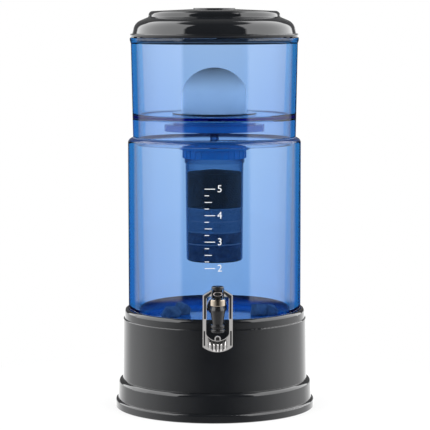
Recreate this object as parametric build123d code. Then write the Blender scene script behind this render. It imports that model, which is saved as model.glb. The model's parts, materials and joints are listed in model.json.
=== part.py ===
from build123d import *
from math import asin, cos, sin
import os

# Gravity water filter: a clear blue filter tank stands on a glass store tank with a push tap,
# and the store tank stands in a dark plastic stand. Sizes are in millimetres. +Z is up, the
# origin is the centre of the stand's underside, and the tap faces -Y.

# Fits
drop_in_play = 0.4  # radial play of a tank, lid or ring that drops into another
press_play = 0.05  # radial play of pieces that are pushed or screwed together
running_play = 0.06  # radial play of a stem or pin that moves in its bore
air_gap = 0.3  # gap between faces that pass each other

# Radius of the glass store tank, which the other radii follow
tank_radius = 110.6

# Stand
body_step = 8.1  # foot of the stand's upright wall outside the glass
body_draft = 1.0
body_round = 1.5
tier_step = 6.1
tier_draft = 0.7
tier_height = 25.0
tier_round = 5.0
foot_step = 3.4
foot_height = 11.2
foot_round = 3.0
foot_edge_round = 1.2
stand_wall = 3.2
stand_inner_corner = 0.3
deck_height = 106.0
deck_thickness = 4.0
deck_hole_radius = 65.0
pocket_depth = 9.2
base_plate_thickness = 3.0
base_plate_play = 0.3

# Screws that hold the base plate
base_screw_count = 4
base_screw_inset = 7.6  # screw circle inside the foot of the upright wall
base_screw_radius = 1.9
base_screw_length = 14.0
base_screw_head_radius = 3.9
base_screw_head_height = 2.2
base_screw_slot = 1.0
screw_post_radius = 5.0
screw_post_height = 44.0

# Collar round the foot of the glass tank
collar_height = 12.2
collar_step = 5.6
collar_round = 4.6
collar_edge_round = 0.5
collar_tongue_width = 1.6
collar_tongue_depth = 3.0
collar_tongue_step = 1.8

# Cushion under the glass tank
cushion_thickness = 2.0
cushion_inset = 9.6

# Glass tank
tank_height = 238.5
tank_wall_top = 10.0
tank_wall_foot = 13.4
tank_floor = 8.0
tank_rim_round = 6.4
tank_rim_inner_round = 1.4
tank_heel_round = 7.0
tank_inner_corner = 5.0
punt_radius = 64.0
punt_depth = 1.4
punt_slope = 3.0
punt_rise = 2.6

# Filter tank
seal_thickness = 0.8
filter_tank_height = 126.7
filter_foot_inset = 6.5  # foot of the filter tank's wall inside the glass tank's outside
filter_flare = 2.3
filter_wall_top = 6.8
filter_wall_foot = 8.6
filter_floor_height = 25.3
filter_floor_thickness = 2.4
filter_lip_depth = 8.3
filter_lip_inset = 0.8
filter_lip_wall = 4.6
filter_inner_corner = 3.0
rim_flange_step = 1.3
rim_flange_thickness = 3.2
rim_flange_flare = 4.4

# Ceramic dome and its base
dome_radius = 41.3
dome_height = 57.2
dome_cap_radius = 45.0
dome_wall = 8.0
dome_shoulder_round = 25.0
dome_base_radius = 54.0
dome_base_thickness = 1.8
dome_spigot_height = 6.0
dome_spigot_wall = 2.2
dome_gasket_thickness = 1.0
dome_gasket_width = 13.0
stem_radius = 5.6
stem_bore_radius = 2.8
stem_length = 51.8

# Clamp plate and hand nut under the filter tank's floor
clamp_boss_radius = 36.0
clamp_boss_height = 4.6
clamp_step_radius = 53.0
clamp_step_height = 3.6
clamp_radius = 64.0
clamp_rim_height = 8.5
clamp_wall = 2.2
clamp_round = 1.2
hand_nut_radius = 24.0
hand_nut_height = 9.0
hand_nut_flute_radius = 3.0
hand_nut_flutes = 12

# Hanging cartridge
cartridge_drop = 37.2
cap_flange_radius = 45.5
cap_flange_thickness = 4.3
cap_radius = 40.3
cap_height = 15.4
cap_wall = 1.7
cap_boss_radius = 10.0
cap_ribs = 28
cap_rib_depth = 0.7
cap_rib_width = 1.6
cap_socket_depth = 12.9
cap_outlet_radius = 3.0
cartridge_seal_thickness = 1.5
neck_radius = 38.6
neck_height = 6.0
cup_top_radius = 37.3
cup_foot_radius = 36.2
cup_length = 147.2
cup_wall = 2.0
cup_foot_round = 3.5
cup_outlet_radius = 1.5
cup_outlet_rings = 3
cup_outlet_pitch = 9.0

# Filter beds in the cartridge, from the foot of the cup up
bed_play = 0.15
foot_bed_depth = 20.0
third_bed_depth = 14.0
second_bed_depth = 12.4
first_bed_depth = 14.4
carbon_bed_depth = 44.0
carbon_heap = 4.0
felt_thickness = 1.6

# Mineral stones on the glass tank's floor: all sizes and places are shares of this width
stone_size = 20.0
stone_round_turns = (28, 53, 74)

# Lid
lid_vent_gap = 1.0
lid_vent_lugs = 5
lid_lug_turn = -4.0
lid_lug_width = 4.0
lid_flange_inset = 0.5  # inside the filter tank's rim flange
lid_flange_thickness = 3.8
lid_skirt_depth = 4.0
lid_skirt_play = 0.8
lid_skirt_wall = 2.2
lid_wall = 2.6
lid_side_inset = 2.8
lid_shoulder_inset = 3.4
lid_shoulder_height = 14.0
lid_shoulder_round = 14.5
lid_ledge_inset = 16.9
lid_ledge_height = 21.2
lid_plateau_inset = 1.0
lid_plateau_height = 28.6
lid_plateau_round = 5.4
lid_crown_height = 31.2
lid_inner_corner = 1.2
lid_cap_radius = 26.8
lid_cap_thickness = 1.8
lid_cap_proud = 1.3
lid_cap_round = 0.9
lid_peg_radius = 6.0
lid_peg_length = 5.0

# Tap: body
tap_height = 37.0  # shank axis above the underside of the glass tank
tap_reach = 39.4  # spout axis in front of the glass
shank_radius = 8.0
shank_bore_radius = 5.0
shank_hole_play = 0.4
shank_inside = 13.5  # length of shank inside the tank wall
tap_flange_radius = 12.0
tap_flange_thickness = 3.4
tap_neck_radius = 7.5
gasket_thickness = 3.0
shank_nut_across = 24.0
shank_nut_thickness = 7.0
barrel_top_rise = 5.6  # barrel shoulder above the shank axis
barrel_shoulder_radius = 7.4
barrel_radius = 9.4
barrel_waist_drop = 16.5
barrel_waist_radius = 6.7
barrel_foot_drop = 18.0
barrel_thread_radius = 7.0
barrel_thread_height = 6.4
chamber_radius = 5.6
seat_drop = 15.5
seat_bore_radius = 4.4

# Tap: nozzle
nozzle_length = 9.3
nozzle_spigot_radius = 5.9
nozzle_bead_radius = 8.5
nozzle_groove_radius = 7.2
nozzle_bead_height = 3.8
nozzle_groove_height = 1.2
nozzle_mouth_depth = 1.6
nozzle_round = 1.1

# Tap: bonnet
bonnet_radius = 10.1
bonnet_height = 7.6
bonnet_lip_radius = 5.3
bonnet_lip_thickness = 1.0
bonnet_round = 0.7
plug_depth = 5.0
plug_flange_radius = 6.6
plug_boss_height = 1.4

# Tap: stem, cup, spring and head
valve_stem_radius = 2.5
cup_radius = 5.0
cup_height = 5.0
cup_round = 1.0
spring_radius = 3.9
spring_wire_radius = 0.45
spring_turns = 5
head_radius = 5.9
head_body_height = 11.0
knob_radius = 7.5
knob_height = 3.0
knob_round = 1.2
badge_width = 11.6
badge_height = 6.0
badge_rim = 1.0
badge_thickness = 1.2

# Tap: lever
pin_radius = 1.3
pin_length = 17.0
pin_rise = 6.9  # pin axis above the bonnet nut
lever_lean = 7.0  # degrees
lever_half_width = 18.3
lever_bar_width = 4.8
lever_foot_bar_width = 4.2
lever_thickness = 5.0
lever_top = 5.2
lever_shoulder = 7.8
lever_shoulder_drop = 1.4
lever_side_length = 66.6
lever_length = 73.4
lever_arch_side = 50.3
lever_arch_middle = 58.9
lever_opening_top = 3.0
lever_edge_round = 0.8
cheek_gap = 0.3
cheek_width = 1.4
cheek_reach = 8.5
cheek_round = 1.0
inlay_inset = 1.5
inlay_width = 2.6
inlay_end = 31.3
inlay_depth = 0.8
slot_inset = 1.1
slot_width = 2.0
slot_top = 46.4
slot_end = 65.2
pad_inset = 1.3
pad_depth = 1.6
pad_proud = 0.5
pad_rib_count = 5
pad_rib_width = 1.5
pad_rib_pitch = 4.4
pad_rib_height = 6.0
tab_half_width = 3.7
tab_rise = 6.2
tab_rim = 1.3

# Radii that follow from the sizes above
body_radius = tank_radius + body_step
tier_radius = body_radius + tier_step
foot_radius = tier_radius + foot_step
collar_radius = tank_radius + collar_step
collar_tongue_radius = tank_radius + collar_tongue_step
base_screw_circle = body_radius - base_screw_inset
filter_foot_radius = tank_radius - filter_foot_inset
filter_top_radius = filter_foot_radius + filter_flare
rim_flange_radius = filter_top_radius + rim_flange_step
lid_flange_radius = rim_flange_radius - lid_flange_inset
lid_side_radius = lid_flange_radius - lid_side_inset
lid_shoulder_radius = lid_side_radius - lid_shoulder_inset
lid_ledge_radius = lid_shoulder_radius - lid_ledge_inset
lid_plateau_radius = lid_ledge_radius - lid_plateau_inset

# Heights that follow from the sizes above
stand_top = deck_height + pocket_depth
tank_foot = deck_height + cushion_thickness
tank_inner_floor = tank_foot + tank_floor
tank_rim = tank_foot + tank_height
filter_seat = tank_rim + seal_thickness
filter_floor_under = filter_seat + filter_floor_height
filter_floor_top = filter_floor_under + filter_floor_thickness
filter_rim = filter_seat + filter_tank_height
dome_base_under = filter_floor_top + dome_gasket_thickness
dome_foot = dome_base_under + dome_base_thickness
clamp_step_top = filter_floor_under - clamp_boss_height
clamp_under = clamp_step_top - clamp_step_height - clamp_rim_height
clamp_ceiling = clamp_under + clamp_rim_height - clamp_wall
cap_top = filter_floor_under - cartridge_drop
cap_under = cap_top - cap_height
cup_foot = cap_top - cup_length
cup_floor_top = cup_foot + cup_wall
neck_under = cap_under - neck_height
lid_seat = filter_rim + lid_vent_gap
crown_top = lid_seat + lid_crown_height + lid_flange_thickness
shank_axis = tank_foot + tap_height
spout_y = -(tank_radius + tap_reach)
barrel_shoulder = shank_axis + barrel_top_rise
barrel_foot = shank_axis - barrel_foot_drop
seat_height = shank_axis - seat_drop
bonnet_top = barrel_shoulder + bonnet_height
pin_height = bonnet_top + pin_rise
barrel_top = barrel_shoulder + barrel_thread_height
plug_under = barrel_top - plug_depth
plug_top = bonnet_top + plug_boss_height
head_under = plug_top + 2 * air_gap
knob_under = head_under + head_body_height


def section(points, rounds=()):
    """A closed outline of (radius, height) points; rounds are (point number, radius)."""
    outline = make_face(Polyline(*points, close=True))
    for number, radius in rounds:
        corner = outline.vertices().sort_by_distance(points[number])[0]
        outline = fillet(corner, radius)
    return outline


def turned(points, rounds=()):
    """The outline turned once round the Z axis."""
    return revolve(Plane.XZ * section(points, rounds), Axis.Z)


def tube(outer, inner, low, high):
    """A plain ring between two heights."""
    return turned([(inner, low), (outer, low), (outer, high), (inner, high)])


def disc(radius, low, high):
    """A plain round plate between two heights."""
    return Pos(0, 0, low) * Cylinder(radius, high - low, align=(Align.CENTER, Align.CENTER, Align.MIN))


def along_y(radius, front, back, height):
    """A rod along Y between two Y values at a height."""
    middle = Pos(0, (front + back) / 2, height)
    return middle * Rot(X=90) * Cylinder(radius, back - front)


def between(low, high, low_value, high_value, height):
    """The value at a height on the straight line through two heights."""
    share = (height - low) / (high - low)
    return low_value + (high_value - low_value) * share


# ---------------------------------------------------------------- stand


def screw_places(radius, height):
    """The places of the base plate's screws, at a height."""
    return Pos(0, 0, height) * PolarLocations(radius, base_screw_count, start_angle=45)


def stand_body():
    """The stepped shell of the stand, with the deck that carries the glass tank."""
    pocket = tank_radius + drop_in_play
    tier_top = foot_height + tier_height
    top_radius = body_radius - body_draft
    shell = turned(
        [
            (foot_radius - stand_wall, 0),
            (foot_radius, 0),
            (foot_radius, foot_height),
            (tier_radius, foot_height),
            (tier_radius - tier_draft, tier_top),
            (body_radius, tier_top),
            (top_radius, stand_top),
            (pocket, stand_top),
            (pocket, deck_height),
            (deck_hole_radius, deck_height),
            (deck_hole_radius, deck_height - deck_thickness),
            (top_radius - stand_wall, deck_height - deck_thickness),
            (body_radius - stand_wall, tier_top - stand_wall),
            (tier_radius - stand_wall, tier_top - stand_wall),
            (tier_radius - stand_wall, foot_height - stand_wall),
            (foot_radius - stand_wall, foot_height - stand_wall),
        ],
        rounds=(
            (1, foot_edge_round),
            (2, foot_round),
            (3, stand_inner_corner),
            (4, tier_round),
            (5, stand_inner_corner),
            (6, body_round),
        ),
    )
    for place in screw_places(base_screw_circle, base_plate_thickness):
        post = Cylinder(screw_post_radius, screw_post_height, align=(Align.CENTER, Align.CENTER, Align.MIN))
        shell += place * post
    for place in screw_places(base_screw_circle, 0):
        bore = Cylinder(base_screw_radius + press_play, 2 * base_screw_length)
        shell -= place * bore
    return shell - collar_tongue(press_play)


def collar_tongue(play):
    """The ring under the collar that keys it to the stand, grown by a play."""
    return tube(
        collar_tongue_radius + collar_tongue_width + play,
        collar_tongue_radius - play,
        stand_top - collar_tongue_depth - play,
        stand_top,
    )


def stand_collar():
    """The rounded ring that closes the gap between the stand and the glass."""
    inner = tank_radius + drop_in_play
    top = stand_top + collar_height
    ring = turned(
        [(inner, stand_top), (collar_radius, stand_top), (collar_radius, top), (inner, top)],
        rounds=((2, collar_round), (3, collar_edge_round)),
    )
    return ring + collar_tongue(0)


def base_screw(play):
    """One countersunk screw that points up from the underside, grown by a play."""
    neck = base_screw_radius + play
    head = base_screw_head_radius + play
    return turned(
        [
            (0, 0),
            (head, 0),
            (neck, base_screw_head_height),
            (neck, base_screw_length),
            (0, base_screw_length),
        ]
    )


def base_plate():
    """The round plate that closes the stand's underside, flush with its rim."""
    plate = disc(foot_radius - stand_wall - base_plate_play, 0, base_plate_thickness)
    for place in screw_places(base_screw_circle, 0):
        plate -= place * base_screw(press_play)
    return plate


def base_screws():
    """The screws of the base plate, each with a slot."""
    slot = Box(2 * base_screw_head_radius, base_screw_slot, base_screw_head_height)
    screw = base_screw(0) - slot
    return Compound(children=[place * screw for place in screw_places(base_screw_circle, 0)])


def tank_cushion():
    """The flat ring of soft foam between the deck and the glass."""
    inner = deck_hole_radius + cushion_thickness
    return tube(tank_radius - cushion_inset, inner, deck_height, tank_foot)


# ---------------------------------------------------------------- glass tank


def tank_inner_radius(height):
    """The radius of the glass tank's tapered inside at a height."""
    low = tank_radius - tank_wall_foot
    high = tank_radius - tank_wall_top
    return between(tank_inner_floor, tank_rim, low, high, height)


def plain_tank():
    """The glass tank before the hole for the tap is drilled."""
    return turned(
        [
            (0, tank_foot + punt_depth + punt_rise),
            (punt_radius - punt_slope, tank_foot + punt_depth),
            (punt_radius, tank_foot),
            (tank_radius, tank_foot),
            (tank_radius, tank_rim),
            (tank_inner_radius(tank_rim), tank_rim),
            (tank_inner_radius(tank_inner_floor), tank_inner_floor),
            (0, tank_inner_floor),
        ],
        rounds=(
            (3, tank_heel_round),
            (4, tank_rim_round),
            (5, tank_rim_inner_round),
            (6, tank_inner_corner),
        ),
    )


def glass_tank():
    """The thick blue glass tank, open at the top, with one hole for the tap."""
    hole = along_y(shank_radius + shank_hole_play, -2 * tank_radius, 0, shank_axis)
    return plain_tank() - hole


def stone(width, depth, height, x, y, turn):
    """One broken mineral stone with flat faces that lies on the tank floor, in stone sizes."""
    width, depth, height, x, y = (stone_size * share for share in (width, depth, height, x, y))
    block = Box(width, depth, 2 * height)
    for step in stone_round_turns:
        cutter = Rot(step / 2, step / 3, step) * Box(width, depth * 1.1, 1.7 * height)
        block &= cutter
    block = Pos(0, 0, height * 0.36) * block
    ground = Pos(0, 0, height) * Box(4 * width, 4 * width, 2 * height)
    return Pos(x, y, tank_inner_floor) * Rot(Z=turn) * (block & ground)


def mineral_stones():
    """The loose stones that add minerals to the filtered water."""
    stones = [
        stone(1.35, 1.0, 0.46, -2.8, -0.3, 20),
        stone(1.05, 1.0, 0.58, -2.1, 0.8, 75),
        stone(1.1, 1.0, 0.56, 2.9, 0.2, 130),
        stone(0.85, 0.8, 0.5, 3.7, 0.25, 40),
        stone(0.75, 0.75, 0.42, 3.2, 1.4, 160),
    ]
    return Compound(children=stones)


def rim_seal():
    """The flat silicone ring between the glass rim and the filter tank."""
    inner = filter_lip_radius() + air_gap
    return tube(filter_foot_radius - press_play, inner, tank_rim, filter_seat)


# ---------------------------------------------------------------- filter tank


def filter_lip_radius():
    """The outer radius of the lip that hangs inside the mouth of the glass tank."""
    return tank_inner_radius(tank_rim) - filter_lip_inset


def filter_tank():
    """The clear blue tank for tap water: wall, floor and the lip under the floor."""
    lip_foot = tank_rim - filter_lip_depth
    lip_outer = filter_lip_radius()
    lip_inner = lip_outer - filter_lip_wall
    floor_radius = between(
        filter_seat, filter_rim, filter_foot_radius, filter_top_radius, filter_floor_top
    )
    flange_under = filter_rim - rim_flange_thickness
    return turned(
        [
            (lip_inner, lip_foot),
            (lip_outer, lip_foot),
            (lip_outer, filter_seat),
            (filter_foot_radius, filter_seat),
            (filter_top_radius, flange_under - rim_flange_flare),
            (rim_flange_radius, flange_under),
            (rim_flange_radius, filter_rim),
            (filter_top_radius - filter_wall_top, filter_rim),
            (floor_radius - filter_wall_foot, filter_floor_top),
            (stem_radius + drop_in_play, filter_floor_top),
            (stem_radius + drop_in_play, filter_floor_under),
            (lip_inner, filter_floor_under),
        ],
        rounds=(
            (1, filter_inner_corner / 3),
            (3, filter_inner_corner / 3),
            (5, filter_inner_corner / 3),
            (6, filter_inner_corner / 3),
            (7, filter_inner_corner / 3),
            (8, filter_inner_corner),
            (11, filter_inner_corner),
        ),
    )


def dome_gasket():
    """The rubber ring under the dome's base."""
    inner = stem_radius + drop_in_play
    return tube(inner + dome_gasket_width, inner, filter_floor_top, dome_base_under)


def dome_base():
    """The dome's plastic base plate, its spigot and the hollow threaded stem."""
    spigot = dome_radius - dome_wall - press_play
    plate = turned(
        [
            (stem_bore_radius, dome_base_under - stem_length),
            (stem_radius, dome_base_under - stem_length),
            (stem_radius, dome_base_under),
            (dome_base_radius, dome_base_under),
            (dome_base_radius, dome_foot),
            (spigot, dome_foot),
            (spigot, dome_foot + dome_spigot_height),
            (spigot - dome_spigot_wall, dome_foot + dome_spigot_height),
            (spigot - dome_spigot_wall, dome_foot),
            (stem_bore_radius, dome_foot),
        ]
    )
    return plate


def dome_form(shrink):
    """The dome's outside, or its inside where it is shrunk by the wall."""
    radius = dome_radius - shrink
    cap = dome_cap_radius - shrink
    top = dome_foot + dome_height - shrink
    centre = top - cap
    tilt = asin(radius / cap)
    shoulder = centre + cap * cos(tilt)
    middle = (cap * sin(tilt / 2), centre + cap * cos(tilt / 2))
    crown = ThreePointArc((0, top), middle, (radius, shoulder))
    sides = Polyline((radius, shoulder), (radius, dome_foot), (0, dome_foot), (0, top))
    outline = make_face(crown + sides)
    corner = outline.vertices().sort_by_distance((radius, shoulder))[0]
    outline = fillet(corner, dome_shoulder_round - shrink)
    return revolve(Plane.XZ * outline, Axis.Z)


def ceramic_dome():
    """The hollow ceramic dome that water seeps through."""
    return dome_form(0) - dome_form(dome_wall)


def clamp_plate():
    """The stepped plate that spreads the hand nut's grip under the floor."""
    bore = stem_radius + drop_in_play
    step_foot = clamp_step_top - clamp_step_height
    return turned(
        [
            (bore, filter_floor_under),
            (clamp_boss_radius, filter_floor_under),
            (clamp_boss_radius, clamp_step_top),
            (clamp_step_radius, clamp_step_top),
            (clamp_step_radius, step_foot),
            (clamp_radius, step_foot),
            (clamp_radius, clamp_under),
            (clamp_radius - clamp_wall, clamp_under),
            (clamp_radius - clamp_wall, clamp_ceiling),
            (bore, clamp_ceiling),
        ],
        rounds=((1, clamp_round), (3, clamp_round), (5, clamp_round)),
    )


def hand_nut():
    """The fluted nut that pulls the dome's stem down."""
    low = clamp_ceiling - hand_nut_height
    nut = tube(hand_nut_radius, stem_radius + press_play, low, clamp_ceiling)
    flute = Cylinder(hand_nut_flute_radius, 3 * hand_nut_height)
    for place in PolarLocations(hand_nut_radius + hand_nut_flute_radius / 2, hand_nut_flutes):
        nut -= Pos(0, 0, clamp_ceiling) * place * flute
    return nut


# ---------------------------------------------------------------- cartridge


def cup_inner_radius(height):
    """The radius of the cartridge cup's tapered inside at a height."""
    low = cup_foot_radius - cup_wall
    high = cup_top_radius - cup_wall
    return between(cup_foot, neck_under, low, high, height)


def cartridge_cap():
    """The ribbed cap with the threaded socket that takes the dome's stem."""
    flange_under = cap_top - cap_flange_thickness
    inner = cap_radius - cap_wall
    socket = stem_radius + running_play
    socket_floor = cap_top - cap_socket_depth
    cap = turned(
        [
            (socket, cap_top),
            (cap_flange_radius, cap_top),
            (cap_flange_radius, flange_under),
            (cap_radius, flange_under),
            (cap_radius, cap_under),
            (inner, cap_under),
            (inner, flange_under + cap_wall),
            (cap_boss_radius, flange_under + cap_wall),
            (cap_boss_radius, cap_under),
            (cap_outlet_radius, cap_under),
            (cap_outlet_radius, socket_floor),
            (socket, socket_floor),
        ],
        rounds=((1, cap_rib_depth), (2, cap_rib_depth)),
    )
    rib = Box(2 * cap_rib_depth, cap_rib_width, cap_height - cap_flange_thickness)
    middle = (flange_under + cap_under) / 2
    for place in PolarLocations(cap_radius, cap_ribs):
        cap += Pos(0, 0, middle) * place * rib
    return cap


def cartridge_seal():
    """The rubber ring at the bottom of the cap's socket."""
    low = cap_top - cap_socket_depth
    return tube(stem_radius, cap_outlet_radius, low, low + cartridge_seal_thickness)


def cartridge_cup():
    """The clear cup that holds the filter beds, with outlets in its floor."""
    collar_top = cap_top - cap_flange_thickness
    collar = cap_radius - cap_wall - press_play
    cup = turned(
        [
            (0, cup_foot),
            (cup_foot_radius, cup_foot),
            (cup_top_radius, neck_under),
            (neck_radius, neck_under),
            (neck_radius, cap_under - press_play),
            (collar, cap_under - press_play),
            (collar, collar_top),
            (cup_top_radius - cup_wall, collar_top),
            (cup_top_radius - cup_wall, neck_under),
            (cup_inner_radius(cup_floor_top), cup_floor_top),
            (0, cup_floor_top),
        ],
        rounds=((1, cup_foot_round),),
    )
    outlet = Pos(0, 0, cup_foot) * Cylinder(cup_outlet_radius, 4 * cup_wall)
    cup -= outlet
    for ring in range(1, cup_outlet_rings + 1):
        for place in PolarLocations(ring * cup_outlet_pitch, 6 * ring):
            cup -= place * outlet
    return cup


def bed(low, depth, heap=0.0):
    """One filter bed that fills the cup from a height, with a heaped top."""
    high = low + depth
    foot = cup_inner_radius(low) - bed_play
    top = cup_inner_radius(high) - bed_play
    return turned([(0, low), (foot, low), (top, high), (0, high + heap)])


def cartridge_fill():
    """The beds by name and the felt discs between them, stacked from the cup's floor."""
    depths = {
        "mineral_bed": foot_bed_depth,
        "zeolite_bed": third_bed_depth,
        "quartz_bed": second_bed_depth,
        "silver_sand_bed": first_bed_depth,
    }
    fill = {}
    felts = []
    level = cup_floor_top
    for name, depth in depths.items():
        fill[name] = bed(level, depth)
        felts.append(bed(level + depth, felt_thickness))
        level += depth + felt_thickness
    fill["carbon_bed"] = bed(level, carbon_bed_depth, carbon_heap)
    fill["felt_discs"] = Compound(children=felts)
    return fill


# ---------------------------------------------------------------- lid


def lid():
    """The stepped lid, with a skirt inside the filter tank and small vent lugs."""
    skirt = filter_top_radius - filter_wall_top - lid_skirt_play
    skirt_foot = lid_seat - lid_skirt_depth - lid_vent_gap
    side_foot = lid_seat + lid_flange_thickness
    cap_floor = crown_top + lid_cap_proud - lid_cap_thickness
    shoulder = side_foot + lid_shoulder_height
    ledge = side_foot + lid_ledge_height
    plateau = side_foot + lid_plateau_height
    shell = turned(
        [
            (skirt - lid_skirt_wall, skirt_foot),
            (skirt, skirt_foot),
            (skirt, lid_seat),
            (lid_flange_radius, lid_seat),
            (lid_flange_radius, side_foot),
            (lid_side_radius, side_foot),
            (lid_shoulder_radius, shoulder),
            (lid_ledge_radius, ledge),
            (lid_plateau_radius, plateau),
            (lid_cap_radius + press_play, crown_top),
            (lid_cap_radius + press_play, cap_floor),
            (lid_peg_radius + press_play, cap_floor),
            (lid_peg_radius + press_play, cap_floor - lid_wall),
            (lid_plateau_radius - lid_wall, plateau - lid_wall),
            (lid_ledge_radius - lid_wall, ledge - lid_wall),
            (skirt - lid_skirt_wall, shoulder - lid_wall),
        ],
        rounds=(
            (3, lid_inner_corner),
            (4, lid_inner_corner),
            (5, lid_inner_corner / 2),
            (6, lid_shoulder_round),
            (7, lid_inner_corner),
            (8, lid_plateau_round),
        ),
    )
    lug = Box(lid_lug_width, lid_lug_width, lid_vent_gap)
    rim_middle = (rim_flange_radius + filter_top_radius - filter_wall_top) / 2
    start = lid_lug_turn - 90
    for place in PolarLocations(rim_middle, lid_vent_lugs, start_angle=start):
        shell += Pos(0, 0, lid_seat - lid_vent_gap / 2) * place * lug
    return shell


def lid_cap():
    """The flat round cap pressed into the middle of the lid."""
    top = crown_top + lid_cap_proud
    foot = top - lid_cap_thickness
    return turned(
        [
            (0, foot - lid_peg_length),
            (lid_peg_radius, foot - lid_peg_length),
            (lid_peg_radius, foot),
            (lid_cap_radius, foot),
            (lid_cap_radius, top),
            (0, top),
        ],
        rounds=((4, lid_cap_round),),
    )


# ---------------------------------------------------------------- tap


def at_spout(piece):
    """Moves a piece that was turned round Z onto the spout's axis."""
    return Pos(0, spout_y, 0) * piece


def glass_outer_y():
    """The Y of the glass tank's front."""
    return -tank_radius


def glass_inner_y():
    """The Y of the glass tank's inside wall at the shank's axis."""
    return -tank_inner_radius(shank_axis)


def tap_body():
    """The tap's black body: shank, flange, neck and the upright barrel."""
    flange_back = glass_outer_y() - gasket_thickness
    flange_front = flange_back - tap_flange_thickness
    shank_end = glass_inner_y() + shank_inside
    barrel = turned(
        [
            (0, barrel_foot - nozzle_length + nozzle_mouth_depth),
            (nozzle_spigot_radius, barrel_foot - nozzle_length + nozzle_mouth_depth),
            (nozzle_spigot_radius, barrel_foot),
            (barrel_waist_radius, barrel_foot),
            (barrel_waist_radius, shank_axis - barrel_waist_drop),
            (barrel_radius, shank_axis),
            (barrel_shoulder_radius, barrel_shoulder),
            (barrel_thread_radius, barrel_shoulder),
            (barrel_thread_radius, barrel_top),
            (0, barrel_top),
        ],
        rounds=((5, 2 * tap_flange_thickness),),
    )
    body = at_spout(barrel)
    neck = along_y(tap_neck_radius, spout_y, flange_back, shank_axis)
    body += neck - at_spout(disc(bonnet_radius + air_gap, barrel_shoulder, bonnet_top))
    body += along_y(tap_flange_radius, flange_front, flange_back, shank_axis)
    body += along_y(shank_radius, flange_back, shank_end, shank_axis)
    body -= at_spout(disc(chamber_radius, seat_height, barrel_top))
    body -= at_spout(disc(seat_bore_radius, barrel_foot - nozzle_length, seat_height))
    return body - along_y(shank_bore_radius, spout_y, shank_end, shank_axis)


def spout_nozzle():
    """The beaded outlet ring pushed onto the barrel's spigot."""
    foot = barrel_foot - nozzle_length
    bore = nozzle_spigot_radius + press_play
    bead_top = foot + nozzle_bead_height
    groove_top = bead_top + nozzle_groove_height
    ring = turned(
        [
            (seat_bore_radius, foot),
            (nozzle_bead_radius, foot),
            (nozzle_bead_radius, bead_top),
            (nozzle_groove_radius, bead_top),
            (nozzle_groove_radius, groove_top),
            (nozzle_bead_radius, groove_top),
            (nozzle_bead_radius, barrel_foot),
            (bore, barrel_foot),
            (bore, foot + nozzle_mouth_depth),
            (seat_bore_radius, foot + nozzle_mouth_depth),
        ],
        rounds=((1, nozzle_round), (2, nozzle_round), (5, nozzle_round), (6, nozzle_round)),
    )
    return at_spout(ring)


def gasket(front, back):
    """A shank gasket whose side against the glass follows the glass."""
    ring = along_y(tap_flange_radius, front, back, shank_axis)
    ring -= along_y(shank_radius + press_play, front, back, shank_axis)
    return ring - plain_tank()


def outer_gasket():
    """The silicone gasket between the tap's flange and the glass."""
    front = glass_outer_y() - gasket_thickness
    return gasket(front, front + 2 * gasket_thickness)


def inner_gasket():
    """The silicone gasket between the glass and the shank nut."""
    back = glass_inner_y() + gasket_thickness
    return gasket(back - 2 * gasket_thickness, back)


def shank_nut():
    """The hexagon nut on the shank inside the tank."""
    front = glass_inner_y() + gasket_thickness
    hexagon = RegularPolygon(shank_nut_across / 2, 6, major_radius=False)
    plate = Plane(origin=(0, front, shank_axis), z_dir=(0, 1, 0)) * hexagon
    nut = extrude(plate, shank_nut_thickness, dir=(0, 1, 0))
    bore = along_y(shank_radius + press_play, front, front + shank_nut_thickness, shank_axis)
    return nut - bore


def bonnet_nut():
    """The bright ring nut that holds the plug in the barrel."""
    bore = barrel_thread_radius + press_play
    lip_under = bonnet_top - bonnet_lip_thickness
    ring = turned(
        [
            (bore, barrel_shoulder),
            (bonnet_radius, barrel_shoulder),
            (bonnet_radius, bonnet_top),
            (bonnet_lip_radius, bonnet_top),
            (bonnet_lip_radius, lip_under),
            (bore, lip_under),
        ],
        rounds=((1, bonnet_round), (2, bonnet_round)),
    )
    return at_spout(ring)


def bonnet_plug():
    """The plug that closes the barrel and guides the valve stem."""
    bore = valve_stem_radius + running_play
    lip_under = bonnet_top - bonnet_lip_thickness
    plug = turned(
        [
            (bore, plug_under),
            (chamber_radius - press_play, plug_under),
            (chamber_radius - press_play, barrel_top),
            (plug_flange_radius, barrel_top),
            (plug_flange_radius, lip_under),
            (bonnet_lip_radius - press_play, lip_under),
            (bonnet_lip_radius - press_play, plug_top),
            (bore, plug_top),
        ]
    )
    return at_spout(plug)


def valve_stem():
    """The rod from the rubber cup up into the tap's head."""
    return at_spout(disc(valve_stem_radius, seat_height + cup_height / 4, pin_height - 2 * pin_radius))


def seat_cup():
    """The silicone cup that closes the seat."""
    cup = turned(
        [
            (0, seat_height),
            (cup_radius, seat_height),
            (cup_radius, seat_height + cup_height),
            (0, seat_height + cup_height),
        ],
        rounds=((2, cup_round),),
    )
    return at_spout(cup) - valve_stem()


def valve_spring():
    """The coil spring that pushes the cup onto its seat."""
    foot = seat_height + cup_height + spring_wire_radius
    height = plug_under - spring_wire_radius - foot
    coil = Helix(height / spring_turns, height, spring_radius)
    wire = Plane(origin=coil @ 0, z_dir=coil % 0) * Circle(spring_wire_radius)
    return Pos(0, spout_y, foot) * sweep(wire, path=coil, is_frenet=True)


def stem_head():
    """The black head of the valve stem with its knob and the pin's bore."""
    head = turned(
        [
            (0, head_under),
            (head_radius, head_under),
            (head_radius, knob_under),
            (knob_radius, knob_under),
            (knob_radius, knob_under + knob_height),
            (0, knob_under + knob_height),
        ],
        rounds=((4, knob_round),),
    )
    flat = Pos(0, -head_radius, pin_height)
    head -= flat * Box(2 * head_radius, 2 * badge_thickness, badge_height + badge_rim)
    return at_spout(head) - pin(press_play, 0) - valve_stem()


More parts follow.
